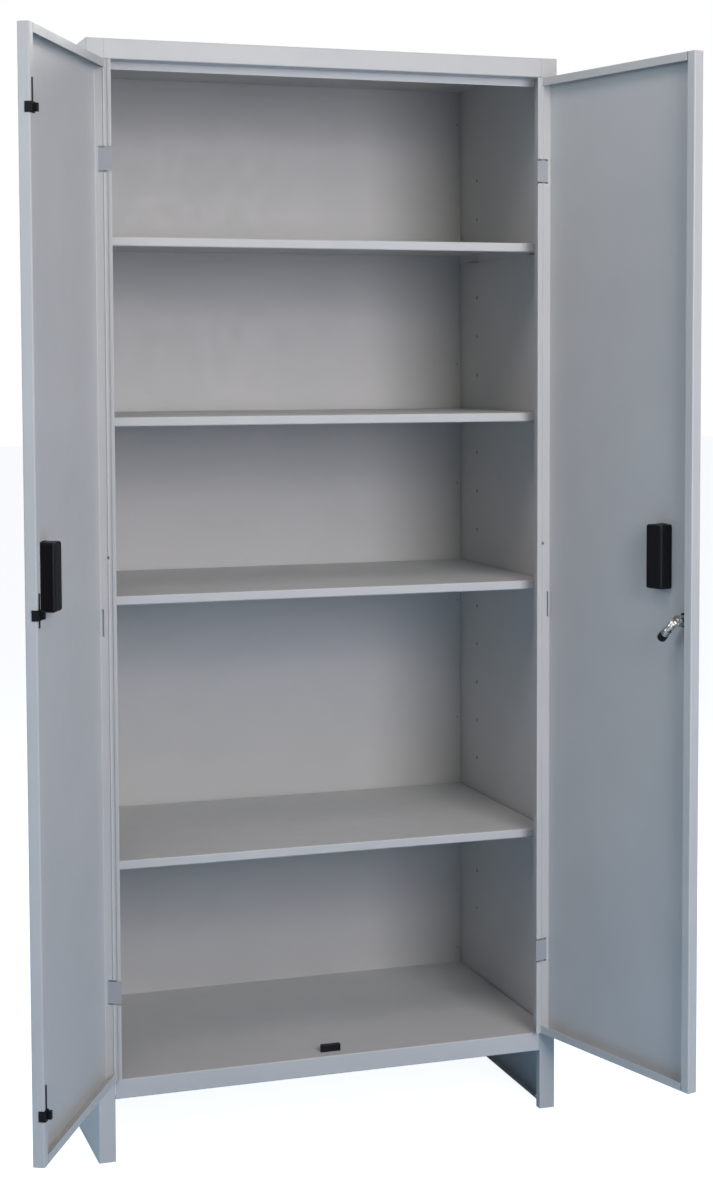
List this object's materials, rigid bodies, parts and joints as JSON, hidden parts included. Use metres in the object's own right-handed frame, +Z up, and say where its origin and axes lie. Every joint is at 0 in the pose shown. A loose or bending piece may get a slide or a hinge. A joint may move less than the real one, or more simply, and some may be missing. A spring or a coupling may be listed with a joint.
{
  "type": "storage cabinet",
  "caption": "Tall two-door sheet-steel storage cabinet on side feet, with adjustable shelves on clips, recessed black pulls and a cam lock; doors stand open.",
  "frame": {"origin": "the middle of the cabinet's footprint at floor level, the doors left out", "axes": "+X to the viewer's right, +Y to the back, +Z up; the door openings face -Y"},
  "size_m": [1.046, 0.8122, 1.8],
  "materials": {
    "carcass_paint": "light grey powder coat, satin with a fine texture",
    "shelf_paint": "light grey powder coat, satin with a fine texture",
    "door_paint": "light grey powder coat, satin with a fine texture",
    "hinge_paint": "light grey powder coat over formed steel",
    "clip_zinc": "bright zinc plate",
    "zinc_steel": "bright zinc plate",
    "lock_chrome": "polished chrome",
    "black_plastic": "black, moulded, faint sheen",
    "buffer_plastic": "black, moulded, matt",
    "black_rubber": "matt black"
  },
  "bodies": {
    "carcass": {"side_panel_left": "carcass_paint", "side_panel_right": "carcass_paint", "back_panel": "carcass_paint", "back_panel_rivets": "zinc_steel", "top_panel": "carcass_paint", "floor_panel": "carcass_paint", "floor_catch": "black_plastic", "shelf_1": "shelf_paint", "shelf_2": "shelf_paint", "shelf_3": "shelf_paint", "shelf_4": "shelf_paint", "shelf_1_clip_front_left": "clip_zinc", "shelf_1_clip_front_right": "clip_zinc", "shelf_1_clip_rear_left": "clip_zinc", "shelf_1_clip_rear_right": "clip_zinc", "shelf_2_clip_front_left": "clip_zinc", "shelf_2_clip_front_right": "clip_zinc", "shelf_2_clip_rear_left": "clip_zinc", "shelf_2_clip_rear_right": "clip_zinc", "shelf_3_clip_front_left": "clip_zinc", "shelf_3_clip_front_right": "clip_zinc", "shelf_3_clip_rear_left": "clip_zinc", "shelf_3_clip_rear_right": "clip_zinc", "shelf_4_clip_front_left": "clip_zinc", "shelf_4_clip_front_right": "clip_zinc", "shelf_4_clip_rear_left": "clip_zinc", "shelf_4_clip_rear_right": "clip_zinc", "hinge_bracket_left_top": "hinge_paint", "hinge_bracket_left_bottom": "hinge_paint", "hinge_bracket_right_top": "hinge_paint", "hinge_bracket_right_bottom": "hinge_paint", "hinge_pins_left": "zinc_steel", "hinge_pins_right": "zinc_steel"},
    "left_door": {"door_panel_left": "door_paint", "handle_cup_left": "black_plastic", "door_buffers_left": "buffer_plastic", "hinge_arm_left_top": "hinge_paint", "hinge_arm_left_bottom": "hinge_paint"},
    "right_door": {"door_panel_right": "door_paint", "handle_cup_right": "black_plastic", "hinge_arm_right_top": "hinge_paint", "hinge_arm_right_bottom": "hinge_paint", "lock_barrel": "lock_chrome", "lock_nut": "black_plastic"},
    "lock_rotor": {"lock_plug": "lock_chrome", "lock_cam": "lock_chrome", "lock_cam_screw": "lock_chrome", "lock_cam_collars": "lock_chrome", "lock_cam_tip": "black_rubber"}
  },
  "joints": [
    {"name": "left_door_hinge", "type": "hinge", "parent": "carcass", "child": "left_door", "pos_m": [-0.3795, -0.22, 0.983], "axis": [0, 0, -1], "range_deg": [-117.7, 3.3]},
    {"name": "right_door_hinge", "type": "hinge", "parent": "carcass", "child": "right_door", "pos_m": [0.3795, -0.22, 0.983], "axis": [0, 0, 1], "range_deg": [-105.8, 15.2]},
    {"name": "lock_turn", "type": "hinge", "parent": "right_door", "child": "lock_rotor", "pos_m": [0.48002, -0.55686, 0.886], "axis": [-0.9622, -0.2723, 0], "range_deg": [0, 135]}
  ]
}
